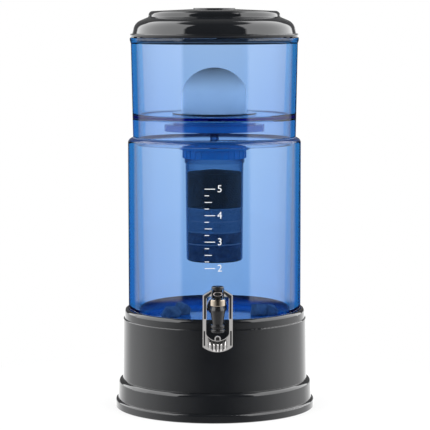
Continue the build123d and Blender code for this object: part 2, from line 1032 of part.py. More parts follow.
def head_badge():
    """The bright oval ring on the front of the head."""
    outline = Ellipse(badge_width / 2, badge_height / 2)
    hole = Ellipse(badge_width / 2 - badge_rim, badge_height / 2 - badge_rim)
    back = spout_y - head_radius + badge_thickness
    ring = Plane(origin=(0, back, pin_height), x_dir=(1, 0, 0), z_dir=(0, -1, 0)) * (outline - hole)
    return extrude(ring, badge_thickness)


def pin(play, end_play):
    """The lever's pin, grown by a play round it and a play at each end."""
    rod = Cylinder(pin_radius + play, pin_length + 2 * end_play)
    return Pos(0, spout_y, pin_height) * Rot(Y=90) * rod


def pivot_pin():
    """The pin that joins the lever to the head."""
    return pin(0, 0)


def on_lever(piece):
    """Moves a piece drawn with the pin as its origin onto the leaning lever."""
    return Pos(0, spout_y, pin_height) * Rot(X=lever_lean) * piece


def lever_sheet(outline, back, front):
    """A flat outline in the lever's plane made solid between two depths in front of it."""
    face = Plane.XZ.offset(back) * outline
    return extrude(face, front - back)


def mirrored(piece):
    """A piece with its mirror image on the other side of the tap."""
    return piece + mirror(piece, Plane.YZ)


def lever_arch(drop_side, drop_middle, half_width):
    """A curve across the lever, lower in the middle than at its sides."""
    return ThreePointArc((-half_width, -drop_side), (0, -drop_middle), (half_width, -drop_side))


def lever_outline(inset):
    """The lever's outer outline, shrunk by an inset."""
    half = lever_half_width - inset
    top = lever_top - inset
    shoulder = lever_shoulder
    sides = Polyline(
        (-half, -lever_side_length + inset),
        (-half, -lever_shoulder_drop - inset / 2),
        (-shoulder, top),
        (shoulder, top),
        (half, -lever_shoulder_drop - inset / 2),
        (half, -lever_side_length + inset),
    )
    foot = lever_arch(lever_side_length - inset, lever_length - inset, half)
    outline = make_face(sides + foot)
    return fillet(outline.vertices(), lever_edge_round)


def lever_opening():
    """The opening in the lever that the barrel stands in."""
    half = lever_half_width - lever_bar_width
    foot_half = lever_half_width - lever_foot_bar_width
    corner = lever_bar_width / 2
    sides = Polyline(
        (-foot_half, -lever_arch_side),
        (-foot_half, -inlay_end - corner),
        (-half, -inlay_end),
        (-half, -lever_opening_top - corner / 2),
        (-half + corner, -lever_opening_top),
        (half - corner, -lever_opening_top),
        (half, -lever_opening_top - corner / 2),
        (half, -inlay_end),
        (foot_half, -inlay_end - corner),
        (foot_half, -lever_arch_side),
    )
    return make_face(sides + lever_arch(lever_arch_side, lever_arch_middle, foot_half))


def pad_outline(inset):
    """The outline of the push pad at the lever's foot, shrunk by an inset."""
    half = lever_half_width - lever_foot_bar_width - inset / 2
    top = lever_arch(lever_arch_side + inset, lever_arch_middle + inset, half)
    foot = lever_arch(lever_side_length - inset, lever_length - inset, half)
    left = Line(top @ 0, foot @ 0)
    right = Line(top @ 1, foot @ 1)
    return make_face(top + right + foot + left)


def tab_outline(inset):
    """The upright tab over the push pad, shrunk by an inset."""
    half = tab_half_width - inset
    top = -lever_arch_middle + tab_rise - inset
    foot = -lever_arch_middle - pad_inset + inset
    tab = make_face(Polyline((-half, foot), (half, foot), (half, top), (-half, top), close=True))
    return fillet(tab.vertices().sort_by(Axis.Y)[-2:], half * 0.9)


def shoulder_inlay():
    """The outline of one black strip from the lever's shoulder down its bar."""
    outer = lever_half_width - inlay_inset
    inner = outer - inlay_width
    return make_face(
        Polyline(
            (outer, -inlay_end),
            (outer, -lever_shoulder_drop - inlay_inset / 2),
            (lever_shoulder + press_play, lever_top - inlay_inset),
            (lever_shoulder + press_play, lever_top - 3 * inlay_inset),
            (inner, -lever_opening_top - inlay_width),
            (inner, -inlay_end),
            close=True,
        )
    )


def foot_slot():
    """The outline of one narrow black strip beside the push pad."""
    middle = lever_half_width - slot_inset - slot_width / 2
    height = slot_end - slot_top
    return Pos(middle, -slot_top - height / 2) * Rectangle(slot_width, height)


def lever_inlays():
    """The black strips in the front of the lever and the tab's black middle."""
    front = lever_thickness / 2
    back = front - inlay_depth
    strips = mirrored(lever_sheet(shoulder_inlay(), back, front))
    strips += mirrored(lever_sheet(foot_slot(), back, front))
    strips += lever_sheet(tab_outline(tab_rim), back, front)
    return on_lever(strips)


def push_pad():
    """The ribbed plate at the foot of the lever that a glass pushes."""
    front = lever_thickness / 2
    pad = lever_sheet(pad_outline(pad_inset), front - pad_depth, front)
    rib_middle = -(lever_arch_middle + lever_length) / 2
    for number in range(pad_rib_count):
        across = (number - (pad_rib_count - 1) / 2) * pad_rib_pitch
        rib = Pos(across, rib_middle) * SlotOverall(pad_rib_height, pad_rib_width, rotation=90)
        pad += lever_sheet(rib, front, front + pad_proud)
    return on_lever(pad) - lever_inlays()


def lever_frame():
    """The bright lever: two bars, the foot plate, the tab and the cheeks on the pin."""
    half = lever_thickness / 2
    frame = lever_sheet(lever_outline(0), -half, half)
    frame -= lever_sheet(lever_opening(), -half, half)
    frame += lever_sheet(tab_outline(0), -half, half)
    inner = head_radius + cheek_gap
    gap = Box(2 * inner, 4 * lever_thickness, 4 * lever_top)
    frame = on_lever(frame - gap)
    cheek_under = bonnet_top + air_gap - pin_height
    cheek = Box(
        cheek_width,
        cheek_reach + half,
        lever_top - cheek_under,
        align=(Align.MIN, Align.MIN, Align.MIN),
    )
    cheek = Pos(inner, -cheek_reach, cheek_under) * cheek
    cheek = fillet(cheek.edges().filter_by(Axis.X), cheek_round)
    frame += Pos(0, spout_y, pin_height) * mirrored(cheek)
    frame -= lever_inlays()
    frame -= on_lever(lever_sheet(pad_outline(pad_inset), half - pad_depth, half))
    return frame - pin(running_play, air_gap)


# ---------------------------------------------------------------- parts

pieces = {
    "stand_body": stand_body(),
    "stand_collar": stand_collar(),
    "base_plate": base_plate(),
    "base_screws": base_screws(),
    "tank_cushion": tank_cushion(),
    "glass_tank": glass_tank(),
    "mineral_stones": mineral_stones(),
    "rim_seal": rim_seal(),
    "filter_tank": filter_tank(),
    "dome_gasket": dome_gasket(),
    "dome_base": dome_base(),
    "ceramic_dome": ceramic_dome(),
    "clamp_plate": clamp_plate(),
    "hand_nut": hand_nut(),
    "cartridge_cap": cartridge_cap(),
    "cartridge_seal": cartridge_seal(),
    "cartridge_cup": cartridge_cup(),
    **cartridge_fill(),
    "lid": lid(),
    "lid_cap": lid_cap(),
    "tap_body": tap_body(),
    "spout_nozzle": spout_nozzle(),
    "outer_gasket": outer_gasket(),
    "inner_gasket": inner_gasket(),
    "shank_nut": shank_nut(),
    "bonnet_nut": bonnet_nut(),
    "bonnet_plug": bonnet_plug(),
    "valve_stem": valve_stem(),
    "seat_cup": seat_cup(),
    "valve_spring": valve_spring(),
    "stem_head": stem_head(),
    "head_badge": head_badge(),
    "pivot_pin": pivot_pin(),
    "lever_frame": lever_frame(),
    "lever_inlays": lever_inlays(),
    "push_pad": push_pad(),
}

os.makedirs("parts", exist_ok=True)
for name, piece in pieces.items():
    export_step(piece, f"parts/{name}.step")
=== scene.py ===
import json
import math

import bmesh
import bpy
from mathutils import Matrix, Vector, noise


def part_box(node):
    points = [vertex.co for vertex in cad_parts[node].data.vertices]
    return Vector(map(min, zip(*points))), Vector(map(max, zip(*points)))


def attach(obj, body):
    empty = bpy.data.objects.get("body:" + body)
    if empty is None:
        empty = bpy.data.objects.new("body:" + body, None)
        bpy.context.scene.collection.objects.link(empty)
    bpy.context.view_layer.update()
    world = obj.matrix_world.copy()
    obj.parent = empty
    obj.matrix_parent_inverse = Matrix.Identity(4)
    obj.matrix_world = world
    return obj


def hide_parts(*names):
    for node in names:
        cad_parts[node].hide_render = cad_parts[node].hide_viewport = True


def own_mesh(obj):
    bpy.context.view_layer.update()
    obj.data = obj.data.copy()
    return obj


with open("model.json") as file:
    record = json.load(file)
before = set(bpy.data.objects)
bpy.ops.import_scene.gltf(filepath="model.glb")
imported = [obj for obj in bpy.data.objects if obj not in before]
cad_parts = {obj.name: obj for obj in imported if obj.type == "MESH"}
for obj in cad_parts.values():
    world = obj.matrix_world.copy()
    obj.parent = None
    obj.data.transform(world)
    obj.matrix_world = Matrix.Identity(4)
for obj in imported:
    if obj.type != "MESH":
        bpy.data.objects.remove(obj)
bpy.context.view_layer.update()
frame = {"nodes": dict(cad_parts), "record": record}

nodes = frame["nodes"]
scene = bpy.context.scene
mm = 0.001


# ---------------------------------------------------------------- shader tools


class Value:
    """A shader socket that Python's operators work on, each adding a Math node."""

    def __init__(self, finish, socket):
        self.finish = finish
        self.socket = socket

    def math(self, operation, *others):
        sockets = dict(zip(("Value", "Value_001", "Value_002"), (self, *others)))
        return self.finish.node("Math", {"operation": operation}, sockets)

    def __add__(self, other):
        return self.math("ADD", other)

    def __sub__(self, other):
        return self.math("SUBTRACT", other)

    def __mul__(self, other):
        return self.math("MULTIPLY", other)

    def __truediv__(self, other):
        return self.math("DIVIDE", other)

    def __pow__(self, other):
        return self.math("POWER", other)

    def __rsub__(self, other):
        sockets = {"Value": other, "Value_001": self}
        return self.finish.node("Math", {"operation": "SUBTRACT"}, sockets)

    __radd__ = __add__
    __rmul__ = __mul__

    def over(self, edge):
        return self.math("GREATER_THAN", edge)

    def smooth(self, low, high):
        """0 below low, 1 above high, and a smooth rise between them."""
        settings = {"interpolation_type": "SMOOTHSTEP"}
        sockets = {"Value": self, "From Min": low, "From Max": high}
        return self.finish.node("MapRange", settings, sockets)


class Finish:
    """The node tree of one material or of the world."""

    def __init__(self, owner):
        owner.use_nodes = True
        self.owner = owner
        self.tree = owner.node_tree
        self.tree.nodes.clear()

    def node(self, kind, settings=(), sockets=(), out=0):
        """Adds a node: its settings first, then its sockets by identifier. Gives one output."""
        node = self.tree.nodes.new("ShaderNode" + kind)
        for name, value in dict(settings).items():
            if name == "stops":
                self.set_stops(node.color_ramp, value)
            else:
                setattr(node, name, value)
        by_name = {socket.identifier: socket for socket in node.inputs}
        for name, value in dict(sockets).items():
            if isinstance(value, Value):
                self.tree.links.new(value.socket, by_name[name])
            else:
                by_name[name].default_value = value
        return Value(self, node.outputs[out]) if node.outputs else node

    def set_stops(self, ramp, stops):
        while len(ramp.elements) < len(stops):
            ramp.elements.new(1.0)
        for element, (place, colour) in zip(ramp.elements, stops):
            element.position = place
            element.color = rgba(colour)

    def place(self):
        return self.node("TexCoord", out=3)

    def axis(self, number):
        """One coordinate of the object, in metres."""
        return self.node("SeparateXYZ", (), {"Vector": self.place()}, out=number)

    def noise(self, scale, detail=3.0, roughness=0.55):
        """Soft clouds of 0 to 1; the scale is how many fit in a metre."""
        sockets = {"Scale": scale, "Detail": detail, "Roughness": roughness, "Vector": self.place()}
        return self.node("TexNoise", (), sockets)

    def cells(self, scale, out=0):
        """Cells like grains: output 0 is the distance from a middle, 1 the cell's own colour."""
        return self.node("TexVoronoi", (), {"Scale": scale, "Vector": self.place()}, out=out)

    def ramp(self, factor, stops):
        return self.node("ValToRGB", {"stops": stops}, {"Fac": factor})

    def mix(self, factor, first, second):
        """Mixes two colours."""
        first = first if isinstance(first, Value) else rgba(first)
        second = second if isinstance(second, Value) else rgba(second)
        sockets = {"Factor_Float": factor, "A_Color": first, "B_Color": second}
        return self.node("Mix", {"data_type": "RGBA"}, sockets, out=2)

    def level_line(self, place, levels):
        """A number along places from -1 to 1, by straight lines between (place, level) pairs."""
        most = max(level for _, level in levels)
        stops = tuple((0.5 + 0.5 * at, level / most) for at, level in levels)
        grey = self.ramp(place * 0.5 + 0.5, stops)
        return grey * most

    def pick(self, factor, first, second):
        """Goes from the first number to the second as the factor goes from 0 to 1."""
        return factor * second + (1.0 - factor) * first

    def bump(self, height, depth, strength=1.0, normal=None):
        """A bump whose heights of 0 to 1 are that deep in metres."""
        sockets = {"Height": height, "Distance": depth, "Strength": strength}
        if normal:
            sockets["Normal"] = normal
        return self.node("Bump", (), sockets)

    def surface(self, **sockets):
        """The Principled shader; names are written with _ for spaces."""
        named = {name.replace("_", " "): value for name, value in sockets.items()}
        for name, value in named.items():
            if isinstance(value, tuple) and "Color" in name:
                named[name] = rgba(value)
        return self.node("BsdfPrincipled", (), named)

    def shader_mix(self, factor, first, second):
        return self.node("MixShader", (), {"Fac": factor, "Shader": first, "Shader_001": second})

    def ray(self, kind):
        """1 for rays of this kind, and 0 for all others."""
        path = self.tree.nodes.new("ShaderNodeLightPath")
        return Value(self, path.outputs[f"Is {kind} Ray"])

    def scattered(self):
        """1 for a ray that has left a matte surface, whatever glass it passed since."""
        path = self.tree.nodes.new("ShaderNodeLightPath")
        return Value(self, path.outputs["Diffuse Depth"]).over(0.5)

    def output(self, surface, volume=None):
        kind = "OutputWorld" if isinstance(self.owner, bpy.types.World) else "OutputMaterial"
        sockets = {"Surface": surface}
        if volume:
            sockets["Volume"] = volume
        self.node(kind, (), sockets)
        return self.owner


def rgba(colour):
    """A colour of three numbers or one grey, as Blender wants it."""
    if isinstance(colour, (int, float)):
        colour = (colour, colour, colour)
    return (*colour, 1.0) if len(colour) == 3 else tuple(colour)


def new_finish(name):
    return Finish(bpy.data.materials.new(name))


# ---------------------------------------------------------------- finishes


def dark_plastic():
    """Glossy moulded plastic, nearly black, with a faint cool cast."""
    finish = new_finish("dark_plastic")
    cloud = finish.noise(35.0, 4.0)
    grain = finish.noise(900.0, 2.0)
    colour = finish.mix(cloud, (0.006, 0.0068, 0.0082), (0.010, 0.0108, 0.0125))
    normal = finish.bump(grain, 0.03 * mm, 0.12)
    return finish.output(
        finish.surface(
            Base_Color=colour,
            Roughness=0.045 + 0.05 * cloud,
            Specular_IOR_Level=0.5,
            Normal=normal,
        )
    )


def black_plastic():
    """Satin black engineering plastic."""
    finish = new_finish("black_plastic")
    cloud = finish.noise(120.0, 3.0)
    grain = finish.noise(2500.0, 2.0)
    colour = finish.mix(cloud, (0.006, 0.006, 0.007), (0.012, 0.012, 0.013))
    normal = finish.bump(grain, 0.02 * mm, 0.2)
    return finish.output(
        finish.surface(Base_Color=colour, Roughness=0.16 + 0.12 * cloud, Normal=normal)
    )


def pale_plastic():
    """Satin pale grey plastic."""
    finish = new_finish("pale_plastic")
    cloud = finish.noise(60.0, 3.0)
    grain = finish.noise(1400.0, 2.0)
    colour = finish.mix(cloud, (0.55, 0.57, 0.60), (0.66, 0.68, 0.70))
    normal = finish.bump(grain, 0.03 * mm, 0.3)
    rough = 0.4 + 0.15 * cloud
    return finish.output(finish.surface(Base_Color=colour, Roughness=rough, Normal=normal))


edge_shade_rise = (0.60, 0.65)  # how far glass is turned from the eye where its painted edge shade sets in
# painted shade: the colour glass takes at its edges, for the dark band of light caught in the wall
painted_edge_shade = (0.05, 0.66, 1.0)
glass_wave = 9.0  # how many slow waves to the metre
absorb_room = 1.02  # keeps the most absorbed colour a little above zero
# painted shade: the deep blue laid over the store tank's rim, for light caught in the glass there
rim_painted_shade = (0.001, 0.034, 0.16)
# painted light: the blue laid over the store tank's floor, for light run long through thick glass
floor_painted_light = (0.0, 0.22, 0.55)
rim_shade_share = 0.8
floor_light_share = 0.5
rim_shade_rise = (341.5 * mm, 344.5 * mm)  # where the painted rim shade of the store tank sets in
floor_light_rise = (115.0 * mm, 115.6 * mm)  # where the painted floor light sets in, on the floor and the foot of the wall over it
floor_light_fall = (117.0 * mm, 126.0 * mm)
tank_middle = 230.0 * mm  # the rim's painted shade above it, the floor's painted light below
painted_band_roughness = 0.12


def tinted_glass(name, absorb, index, painted_bands=False):
    """Clear coloured glass, deepened at its edges as painted shade; absorb is the red, green and
    blue taken up per metre of path. With painted_bands, a blue is painted over the rim as shade and
    over the floor as light.
    """
    finish = new_finish(name)
    density = max(absorb) * absorb_room
    colour = tuple(1.0 - share / density for share in absorb)
    wave = finish.noise(glass_wave, 1.0)
    normal = finish.bump(wave, 0.05 * mm, 0.5)
    # painted shade: the glass turns bluer where it faces away from the eye
    facing = finish.node("LayerWeight", (), {"Blend": 0.5}, out=1)
    edge_shaded_colour = finish.mix(facing.smooth(*edge_shade_rise), (1.0, 1.0, 1.0), painted_edge_shade)
    body = finish.surface(
        Base_Color=edge_shaded_colour,
        Roughness=0.0,
        IOR=index,
        Transmission_Weight=1.0,
        Normal=normal,
    )
    # painted shade on the rim and painted light on the floor: an opaque blue mixed over the glass
    # by height
    if painted_bands:
        height = finish.axis(2)
        deep = finish.mix(height.over(tank_middle), floor_painted_light, rim_painted_shade)
        painted_band_surface = finish.surface(Base_Color=deep, Roughness=painted_band_roughness)
        foot = height.smooth(*floor_light_rise) * (1.0 - height.smooth(*floor_light_fall))
        share = rim_shade_share * height.smooth(*rim_shade_rise) + floor_light_share * foot
        body = finish.shader_mix(share, body, painted_band_surface)
    clear = finish.node("BsdfTransparent", (), {"Color": rgba(1.0)})
    surface = finish.shader_mix(finish.ray("Shadow"), body, clear)
    volume = finish.node("VolumeAbsorption", (), {"Color": rgba(colour), "Density": density})
    return finish.output(surface, volume)


clear_share = 0.3  # of the blue plastic that light passes


def blue_plastic():
    """Translucent blue plastic, full of pigment."""
    finish = new_finish("blue_plastic")
    cloud = finish.noise(90.0, 3.0)
    grain = finish.noise(1800.0, 2.0)
    colour = finish.mix(cloud, (0.002, 0.15, 0.42), (0.004, 0.20, 0.52))
    normal = finish.bump(grain, 0.02 * mm, 0.2)
    solid = finish.surface(Base_Color=colour, Roughness=0.12 + 0.08 * cloud, Normal=normal)
    clear = finish.surface(
        Base_Color=(0.05, 0.45, 0.85),
        Roughness=0.0,
        IOR=1.3,
        Transmission_Weight=1.0,
        Normal=normal,
    )
    return finish.output(finish.shader_mix(clear_share, solid, clear))


def metal(name, dark, light, rough):
    """Polished metal with the faint haze of handling."""
    finish = new_finish(name)
    haze = finish.noise(180.0, 4.0)
    colour = finish.mix(haze, dark, light)
    return finish.output(
        finish.surface(Base_Color=colour, Metallic=1.0, Roughness=rough + 0.08 * haze)
    )


def silicone(name, dark, light):
    """Milky rubber."""
    finish = new_finish(name)
    cloud = finish.noise(150.0, 3.0)
    colour = finish.mix(cloud, dark, light)
    return finish.output(finish.surface(Base_Color=colour, Roughness=0.45 + 0.15 * cloud))


def ceramic():
    """Unglazed off-white ceramic with a fine grain."""
    finish = new_finish("ceramic")
    cloud = finish.noise(40.0, 4.0)
    grain = finish.noise(1500.0, 3.0, 0.7)
    colour = finish.mix(cloud, (0.80, 0.80, 0.78), (0.88, 0.88, 0.86))
    normal = finish.bump(grain, 0.12 * mm, 0.35)
    rough = 0.6 + 0.2 * grain
    return finish.output(finish.surface(Base_Color=colour, Roughness=rough, Normal=normal))


def grains(name, size, dark, light, gloss):
    """Loose grains seen through the cup: each has its own shade."""
    finish = new_finish(name)
    scale = 1.0 / size
    shade = finish.cells(scale, out=1)
    edge = finish.cells(scale)
    grey = finish.node("RGBToBW", (), {"Color": shade})
    colour = finish.mix(grey, dark, light)
    normal = finish.bump(edge, 0.6 * size, 0.9)
    rough = gloss + 0.3 * grey
    return finish.output(finish.surface(Base_Color=colour, Roughness=rough, Normal=normal))


def stone():
    """Rough grey-blue mineral with pores."""
    finish = new_finish("stone")
    cloud = finish.noise(90.0, 5.0, 0.65)
    pores = finish.cells(260.0)
    colour = finish.ramp(cloud, ((0.3, (0.06, 0.09, 0.13)), (0.7, (0.17, 0.23, 0.30))))
    lumps = finish.bump(cloud, 1.2 * mm, 0.8)
    normal = finish.bump(pores.smooth(0.0, 0.35), 0.6 * mm, 0.7, lumps)
    rough = 0.75 + 0.2 * cloud
    return finish.output(finish.surface(Base_Color=colour, Roughness=rough, Normal=normal))


def felt():
    """White needled felt."""
    finish = new_finish("felt")
    fibres = finish.noise(900.0, 6.0, 0.8)
    colour = finish.mix(fibres, (0.45, 0.46, 0.46), (0.75, 0.75, 0.73))
    normal = finish.bump(fibres, 0.4 * mm, 0.8)
    return finish.output(finish.surface(Base_Color=colour, Roughness=0.95, Normal=normal))


def white_print():
    """Fired white print on the glass, a little uneven."""
    finish = new_finish("white_print")
    cloud = finish.noise(260.0, 4.0)
    grain = finish.noise(3000.0, 2.0)
    colour = finish.mix(cloud, (0.62, 0.65, 0.68), (0.76, 0.78, 0.80))
    normal = finish.bump(grain, 0.02 * mm, 0.3)
    rough = 0.35 + 0.2 * cloud
    return finish.output(finish.surface(Base_Color=colour, Roughness=rough, Normal=normal))


finishes = {
    "dark_plastic": dark_plastic(),
    "black_plastic": black_plastic(),
    "pale_plastic": pale_plastic(),
    "tank_glass": tinted_glass("tank_glass", (60.0, 33.0, 7.0), 1.5, painted_bands=True),
    "filter_glass": tinted_glass("filter_glass", (76.0, 43.0, 8.5), 1.5),
    "blue_plastic": blue_plastic(),
    "clear_plastic": tinted_glass("clear_plastic", (420.0, 270.0, 160.0), 1.3),
    "bright_chrome": metal("bright_chrome", (0.72, 0.70, 0.69), (0.82, 0.80, 0.79), 0.06),
    "satin_chrome": metal("satin_chrome", (0.66, 0.60, 0.60), (0.78, 0.72, 0.72), 0.30),
    "gold_chrome": metal("gold_chrome", (0.48, 0.41, 0.33), (0.58, 0.50, 0.41), 0.04),
    "steel": metal("steel", (0.45, 0.46, 0.47), (0.60, 0.61, 0.62), 0.25),
    "silicone": silicone("silicone", (0.60, 0.64, 0.68), (0.72, 0.75, 0.78)),
    "blue_silicone": silicone("blue_silicone", (0.02, 0.06, 0.16), (0.04, 0.10, 0.24)),
    "ceramic": ceramic(),
    "carbon": grains("carbon", 1.6 * mm, (0.002, 0.002, 0.003), (0.02, 0.022, 0.026), 0.35),
    "sand": grains("sand", 1.0 * mm, (0.24, 0.30, 0.34), (0.60, 0.66, 0.70), 0.5),
    "stone": stone(),
    "felt": felt(),
    "white_print": white_print(),
}

# Nodes with a finish of their own; the others have the finish of their slot
finish_of = {
    "glass_tank": "tank_glass",
    "filter_tank": "filter_glass",
    "rim_seal": "blue_silicone",
}
slot_of = {row["node"]: row["material_slot"] for row in frame["record"]["subparts"]}

for name, node in nodes.items():
    node.data.materials.clear()
    node.data.materials.append(finishes[finish_of.get(name, slot_of[name])])


# ---------------------------------------------------------------- pieces

weld_reach = 0.002 * mm
sharp_angle = 35.0


def new_piece(name, bm, finish, body):
    """Makes a smooth piece from a bmesh; it rides on a body."""
    mesh = bpy.data.meshes.new(name)
    bm.to_mesh(mesh)
    bm.free()
    mesh.materials.append(finish)
    for face in mesh.polygons:
        face.use_smooth = True
    mesh.set_sharp_from_angle(angle=math.radians(sharp_angle))
    piece = bpy.data.objects.new(name, mesh)
    scene.collection.objects.link(piece)
    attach(piece, body)
    return piece


def merged_copy(node):
    """A node's shape as a closed bmesh."""
    bm = bmesh.new()
    bm.from_mesh(nodes[node].data)
    bmesh.ops.remove_doubles(bm, verts=bm.verts, dist=weld_reach)
    return bm


def replacement(node, bm, body):
    """A finer piece in the place of a node, with that node's finish."""
    piece = new_piece(f"{node}_shape", bm, nodes[node].data.materials[0], body)
    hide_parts(node)
    return piece


# The push pad: crowned from side to side, its foot a little proud
lever_pin = Vector((0.0, -150.0 * mm, 165.1 * mm))
lever_lean = 7.0  # degrees
pad_steps = 24
pad_crown = 2.0 * mm
crown_power = 3  # flat in the middle, falling off at the sides
pad_tilt = 2.6 * mm
pad_front = -2.5 * mm  # its face before it is crowned, from the pin
rib_share = 0.45  # of the ribs' height that stands proud of the crown


def crowned_pad():
    """The push pad, upright while it is shaped."""
    bm = merged_copy("push_pad")
    lean = Matrix.Translation(lever_pin) @ Matrix.Rotation(math.radians(lever_lean), 4, "X")
    bmesh.ops.transform(bm, matrix=lean.inverted(), verts=bm.verts)
    half = max(vert.co.x for vert in bm.verts)
    foot = min(vert.co.z for vert in bm.verts)
    height = max(vert.co.z for vert in bm.verts) - foot
    for step in range(1, pad_steps):
        cut = Vector((half * (2.0 * step / pad_steps - 1.0), 0.0, 0.0))
        geom = bm.verts[:] + bm.edges[:] + bm.faces[:]
        bmesh.ops.bisect_plane(bm, geom=geom, plane_co=cut, plane_no=(1.0, 0.0, 0.0))
    for vert in bm.verts:
        crown = pad_crown * (1.0 - abs(vert.co.x / half) ** crown_power)
        proud = max(0.0, pad_front - vert.co.y)
        tilt = pad_tilt * (0.5 - (vert.co.z - foot) / height)
        vert.co.y += (1.0 - rib_share) * proud - crown - tilt
    bmesh.ops.transform(bm, matrix=lean, verts=bm.verts)
    replacement("push_pad", bm, "lever")


# The cushion: pressed flat a hair under the glass, so that air lies between them
cushion_air = 0.08 * mm


def pressed_cushion():
    """The cushion with its top lowered by the air gap."""
    bm = merged_copy("tank_cushion")
    foot = min(vert.co.z for vert in bm.verts)
    for vert in bm.verts:
        if vert.co.z > foot + cushion_air:
            vert.co.z -= cushion_air
    replacement("tank_cushion", bm, "stand")


# The oval ring on the head, with a round section
badge_wire = 0.55 * mm
badge_turns = 64
badge_sides = 16
badge_weld = 0.0001  # where the ring closes, of its half width


def rounded_badge():
    """A ring of radius 1 with a round wire, stretched to the oval of the node."""
    low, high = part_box("head_badge")
    middle = (Vector(low) + Vector(high)) / 2
    reach = (Vector(high) - Vector(low)) / 2
    bm = bmesh.new()
    place = Matrix.Translation((1.0, 0.0, 0.0)) @ Matrix.Rotation(math.radians(90.0), 4, "X")
    bmesh.ops.create_circle(bm, segments=badge_sides, radius=badge_wire / reach.x, matrix=place)
    bmesh.ops.spin(
        bm,
        geom=bm.verts[:] + bm.edges[:],
        cent=(0, 0, 0),
        axis=(0, 0, 1),
        angle=math.tau,
        steps=badge_turns,
        use_merge=True,
    )
    bmesh.ops.remove_doubles(bm, verts=bm.verts, dist=badge_weld)
    for vert in bm.verts:
        ring = Vector((vert.co.x, vert.co.y)).normalized()
        out = Vector((vert.co.x, vert.co.y)).length - 1.0
        across = ring.x * (reach.x - badge_wire + out * reach.x)
        up = ring.y * (reach.z - badge_wire + out * reach.x)
        vert.co = middle + Vector((across, -vert.co.z * reach.x, up))
    bmesh.ops.recalc_face_normals(bm, faces=bm.faces)
    piece = replacement("head_badge", bm, "valve")
    piece.data.materials[0] = finishes["satin_chrome"]


def valve_spring():
    """The spring, as its own piece on the store tank with a mesh of its own."""
    spring = replacement("valve_spring", merged_copy("valve_spring"), "store_tank")
    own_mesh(spring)


# The stones: broken faces with pits
stone_cuts = 3
stone_lumps = (0.5 * mm, 130.0)  # depth, and how many lumps to the metre
stone_pits = (0.9 * mm, 320.0)
pit_edge = 0.15  # the noise over which a pit opens


def pitted_stones():
    """The stones, finely divided and worn inwards along their normals."""
    bm = merged_copy("mineral_stones")
    bmesh.ops.subdivide_edges(bm, edges=bm.edges[:], cuts=stone_cuts, use_grid_fill=True)
    bmesh.ops.triangulate(bm, faces=bm.faces[:])
    bm.normal_update()
    for vert in bm.verts:
        lump = noise.noise(vert.co * stone_lumps[1])
        pit = max(0.0, noise.noise(vert.co * stone_pits[1]) - pit_edge)
        vert.co -= vert.normal * (stone_lumps[0] * (0.5 + lump) + stone_pits[0] * pit)
    replacement("mineral_stones", bm, "store_tank")


# The print on the glass: plain numbered ticks a litre apart, not set to the tank's true levels
litre_height = 32.8 * mm
first_litre = 2
last_litre = 5
ticks_per_litre = 4
scale_foot = 191.0 * mm
scale_left = -15.0 * mm
tick_width = 0.9 * mm
tick_lengths = {"litre": 13.0 * mm, "half": 9.0 * mm, "quarter": 5.5 * mm}
digit_size = 12.5 * mm
digit_gap = 2.5 * mm
print_depth = 0.06 * mm
print_steps = 14
print_weld = 0.001 * mm


def add_bar(bm, left, right, low, high):
    """A thin printed bar, flat, divided so that it can be bent."""
    size = Vector((right - left, print_depth, high - low))
    place = Matrix.Translation(((left + right) / 2, 0.0, (low + high) / 2))
    cube = bmesh.ops.create_cube(bm, size=1.0, matrix=place @ Matrix.Diagonal((*size, 1.0)))
    for step in range(1, print_steps):
        cut = Vector((left + (right - left) * step / print_steps, 0.0, 0.0))
        faces = {face for vert in cube["verts"] for face in vert.link_faces}
        edges = {edge for face in faces for edge in face.edges}
        geom = list(faces) + list(edges) + cube["verts"]
        made = bmesh.ops.bisect_plane(bm, geom=geom, plane_co=cut, plane_no=(1.0, 0.0, 0.0))
        parts = made["geom_cut"]
        cube["verts"] += [part for part in parts if isinstance(part, bmesh.types.BMVert)]


def add_number(bm, text, left, middle):
    """A flat printed number."""
    data = bpy.data.curves.new("number", "FONT")
    data.body = text
    data.size = digit_size
    data.extrude = print_depth / 2
    data.align_y = "CENTER"
    number = bpy.data.objects.new("number", data)
    scene.collection.objects.link(number)
    graph = bpy.context.evaluated_depsgraph_get()
    mesh = bpy.data.meshes.new_from_object(number.evaluated_get(graph))
    place = Matrix.Translation((left, 0.0, middle)) @ Matrix.Rotation(math.radians(90.0), 4, "X")
    mesh.transform(place)
    bm.from_mesh(mesh)
    bpy.data.objects.remove(number)


def level_scale():
    """The white scale printed on the front of the glass, bent round it."""
    bm = bmesh.new()
    for number in range(first_litre * ticks_per_litre, last_litre * ticks_per_litre + 1):
        middle = scale_foot + (number / ticks_per_litre - first_litre) * litre_height
        whole = number % ticks_per_litre == 0
        half = number % (ticks_per_litre // 2) == 0
        end = scale_left + tick_lengths["litre" if whole else "half" if half else "quarter"]
        add_bar(bm, scale_left, end, middle - tick_width / 2, middle + tick_width / 2)
        if whole:
            add_number(bm, str(number // ticks_per_litre), end + digit_gap, middle)
    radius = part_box("glass_tank")[1][0] + print_depth
    for vert in bm.verts:
        turn = vert.co.x / radius
        out = radius - vert.co.y
        vert.co = Vector((out * math.sin(turn), -out * math.cos(turn), vert.co.z))
    bmesh.ops.remove_doubles(bm, verts=bm.verts, dist=print_weld)
    bmesh.ops.recalc_face_normals(bm, faces=bm.faces)
    new_piece("level_scale", bm, finishes["white_print"], "store_tank")


# ---------------------------------------------------------------- camera and light

sensor_width = 36.0
lens = 172.5
camera_reach = 50.0
camera_distance = 2636 * mm
camera_height = 507.3 * mm
camera_tilt = 5.65  # degrees downwards
camera_turn = 1.45  # degrees round the object, towards its left
camera_roll = -0.067
camera_side = 0.62 * mm


